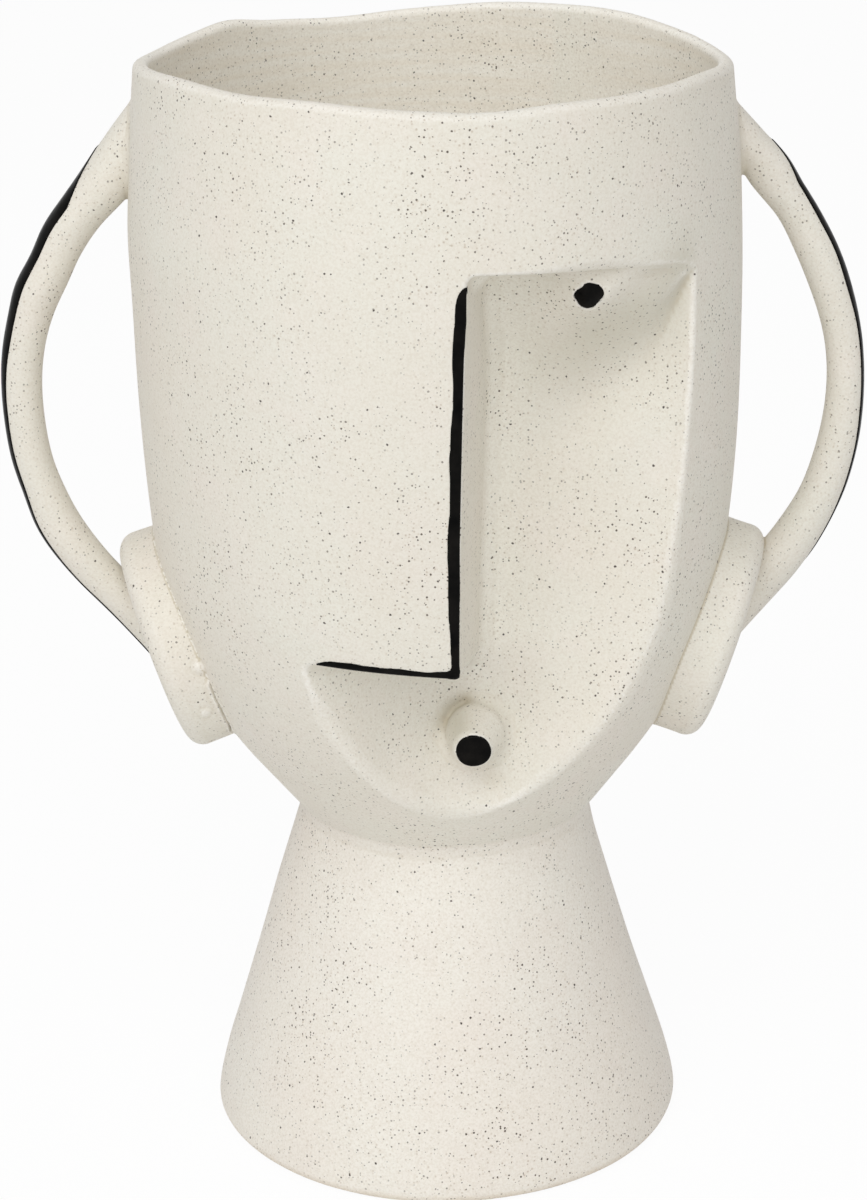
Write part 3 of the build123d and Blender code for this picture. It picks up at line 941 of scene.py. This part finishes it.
grow(
    "head", head_shell, (-83, -83, 91), (83, 83, 306), 0.9,
    "head_shell", head_clay, {"inner": head_inner, "painted_shade": painted_face_shade, "pale": painted_nose_light},
)
grow(
    "pedestal_cone", pedestal, (-69, -69, -1.5), (69, 69, 101), 0.9,
    "pedestal", pedestal_clay, {"inner": pedestal_inner},
)
for side, word in ((-1, "left"), (1, "right")):
    near, far = sorted((side * 40, side * 92))
    grow(
        word + "_ear_disc", partial(ear, side=side), (near, -42, 104), (far, 32, 176), 0.45,
        word + "_ear", ear_clay,
    )
    near, far = sorted((side * 60, side * 119))
    grow(
        word + "_handle_tube", partial(handle, side=side), (near, -16, 118), (far, 16, 300), 0.6,
        word + "_handle", handle_clay,
    )
    near, far = sorted((side * 70, side * 119))
    grow(
        word + "_stripe", partial(handle_stripe, side=side), (near, -7, 126), (far, 7, 282), 0.35,
        word + "_handle_stripe", black,
    )
grow(
    "eye_spout", eye_cone, (-2, -74, 210), (76, -34, 266), 0.55, "eye_cone", head_clay,
    {"painted_shade": painted_face_shade, "pale": painted_nose_light},
)
grow(
    "mouth_spout", mouth_cone, (-8, -58, 112), (26, -36, 150), 0.4, "mouth_cone", head_clay,
    {"painted_shade": painted_face_shade},
)
grow("eye_glaze", eye_dot, (31, -72, 243), (43, -44, 258), 0.3, "eye_dot", black)
grow("mouth_glaze", mouth_dot, (2, -57, 124), (14, -51, 136), 0.3, "mouth_dot", black)
grow("nose_stroke", nose_line, (-34, -84, 155), (13, -58, 261), 0.35, "nose_line", black)
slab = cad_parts["base_slab"]
for spot in slab.material_slots:
    spot.material = bare_clay


# Stage, light and camera, in metres

FLOOR_HALF = 4
FLOOR_TONES = ((0.94, 0.94, 0.94, 1), (0.95, 0.95, 0.95, 1))
FLOOR_GLOW = 0.94  # share of plain white that the camera sees in the floor, over its shadow
SKY = 0.51
KEY_PLACE, KEY_AIM, KEY_SIZE, KEY_POWER = (-0.40, -1.71, 1.70), (0, 0, 0.17), 2.4, 34.5
SENSOR, FOCAL, FRAME_HEIGHT, SHIFT = 36, 2931, 1200, -6.81  # sensor in mm, the rest in pixels of the photo
CAMERA_PLACE = (0, -0.755, 0.4262)
CAMERA_PITCH, CAMERA_ROLL = 20.04, 0.73  # degrees


def stage_floor():
    """Pale floor that glows for the camera and keeps the shadow."""
    mesh = bpy.data.meshes.new("floor")
    corners = [(FLOOR_HALF * x, FLOOR_HALF * y, 0) for x, y in ((-1, -1), (1, -1), (1, 1), (-1, 1))]
    mesh.from_pydata(corners, [], [(0, 1, 2, 3)])
    floor = bpy.data.objects.new("floor", mesh)
    bpy.context.scene.collection.objects.link(floor)
    n = Nodes("floor_white")
    n.feed(n.shader.inputs["Base Color"], n.mix(n.noise(3, 2, 0.5), *FLOOR_TONES))
    n.shader.inputs["Roughness"].default_value = 0.9
    n.shader.inputs["Specular IOR Level"].default_value = 0.0
    seen = n.add("ShaderNodeLightPath")
    either = n.math("MAXIMUM", seen.outputs["Is Camera Ray"], seen.outputs["Is Glossy Ray"])
    glow = n.add("ShaderNodeEmission")
    glow.inputs["Color"].default_value = (1, 1, 1, 1)
    blend = n.add("ShaderNodeMixShader")
    n.feed(blend.inputs["Fac"], n.math("MULTIPLY", either, FLOOR_GLOW))
    n.tree.links.new(n.shader.outputs["BSDF"], blend.inputs[1])
    n.tree.links.new(glow.outputs["Emission"], blend.inputs[2])
    out = next(node for node in n.tree.nodes if node.type == "OUTPUT_MATERIAL")
    n.tree.links.new(blend.outputs["Shader"], out.inputs["Surface"])
    mesh.materials.append(n.material)


def key_lamp():
    data = bpy.data.lights.new("key", "AREA")
    data.shape = "RECTANGLE"
    data.size = data.size_y = KEY_SIZE
    data.energy = KEY_POWER
    light = bpy.data.objects.new("key", data)
    light.location = KEY_PLACE
    light.rotation_euler = (Vector(KEY_AIM) - Vector(KEY_PLACE)).to_track_quat("-Z", "Y").to_euler()
    bpy.context.scene.collection.objects.link(light)


def studio():
    """Even pale sky, seen as plain white by the camera."""
    world = bpy.data.worlds.new("studio")
    bpy.context.scene.world = world
    world.use_nodes = True
    tree = world.node_tree
    ground = tree.nodes["Background"]
    ground.inputs["Color"].default_value = (1, 1, 1, 1)
    ground.inputs["Strength"].default_value = SKY
    seen = tree.nodes.new("ShaderNodeLightPath")
    either = tree.nodes.new("ShaderNodeMath")
    either.operation = "MAXIMUM"
    tree.links.new(seen.outputs["Is Camera Ray"], either.inputs[0])
    tree.links.new(seen.outputs["Is Glossy Ray"], either.inputs[1])
    white = tree.nodes.new("ShaderNodeBackground")
    white.inputs["Color"].default_value = (1, 1, 1, 1)
    white.inputs["Strength"].default_value = 1.0
    blend = tree.nodes.new("ShaderNodeMixShader")
    tree.links.new(either.outputs[0], blend.inputs["Fac"])
    tree.links.new(ground.outputs["Background"], blend.inputs[1])
    tree.links.new(white.outputs["Background"], blend.inputs[2])
    tree.links.new(blend.outputs["Shader"], tree.nodes["World Output"].inputs["Surface"])


def camera():
    """Camera of the photo, pitched down and rolled a little."""
    data = bpy.data.cameras.new("camera")
    data.sensor_width = SENSOR
    data.lens = FOCAL / FRAME_HEIGHT * SENSOR
    data.shift_x = SHIFT / FRAME_HEIGHT
    pitch, roll = math.radians(CAMERA_PITCH), math.radians(CAMERA_ROLL)
    right = Vector((1, 0, 0))
    up = Vector((0, math.sin(pitch), math.cos(pitch)))
    back = Vector((0, -math.cos(pitch), math.sin(pitch)))
    across = right * math.cos(roll) - up * math.sin(roll)
    upward = right * math.sin(roll) + up * math.cos(roll)
    turn = Matrix((across, upward, back)).transposed().to_4x4()
    eye = bpy.data.objects.new("camera", data)
    eye.matrix_world = Matrix.Translation(CAMERA_PLACE) @ turn
    bpy.context.scene.collection.objects.link(eye)
    bpy.context.scene.camera = eye


stage_floor()
studio()
key_lamp()
camera()
bpy.context.scene.view_settings.view_transform = "Standard"
